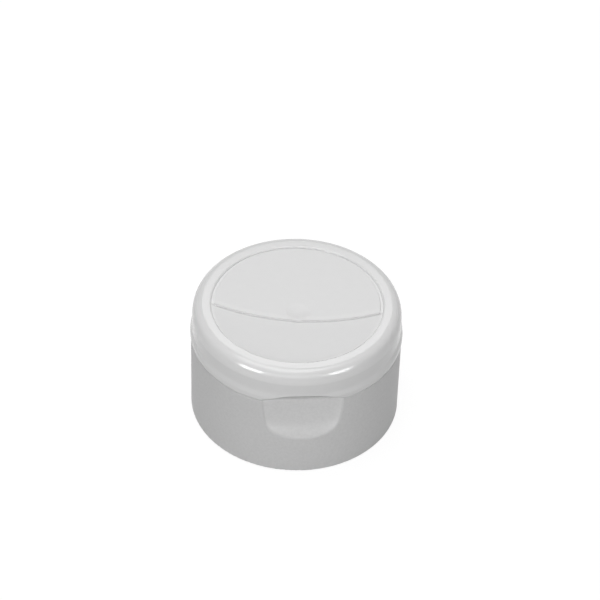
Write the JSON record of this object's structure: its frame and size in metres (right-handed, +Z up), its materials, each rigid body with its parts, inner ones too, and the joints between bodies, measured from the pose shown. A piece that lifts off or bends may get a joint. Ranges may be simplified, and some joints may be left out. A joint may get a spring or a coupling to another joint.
{
  "type": "flip top cap",
  "caption": "Round flip top closure: threaded neck bore, smooth skirt with a thumb scoop, and a snap lid with a plug that swings on a film hinge.",
  "frame": {"origin": "centre of the bottom rim, where the neck bore opens", "axes": "+Z up along the neck bore towards the lid, -Y towards the thumb scoop, +Y towards the film hinge, lid shut"},
  "size_m": [0.0422, 0.0418, 0.026],
  "materials": {
    "base_plastic": "fine spark-eroded grain, white polypropylene",
    "lid_plastic": "polished, white polypropylene"
  },
  "bodies": {
    "base": {"cap_base": "base_plastic", "hinge_film": "base_plastic"},
    "lid": {"lid": "lid_plastic"}
  },
  "joints": [
    {"name": "lid_hinge", "type": "hinge", "parent": "base", "child": "lid", "pos_m": [0, 0.0201, 0.0181], "axis": [-1, 0, 0], "range_deg": [0, 180], "deforming": ["hinge_film"]}
  ]
}
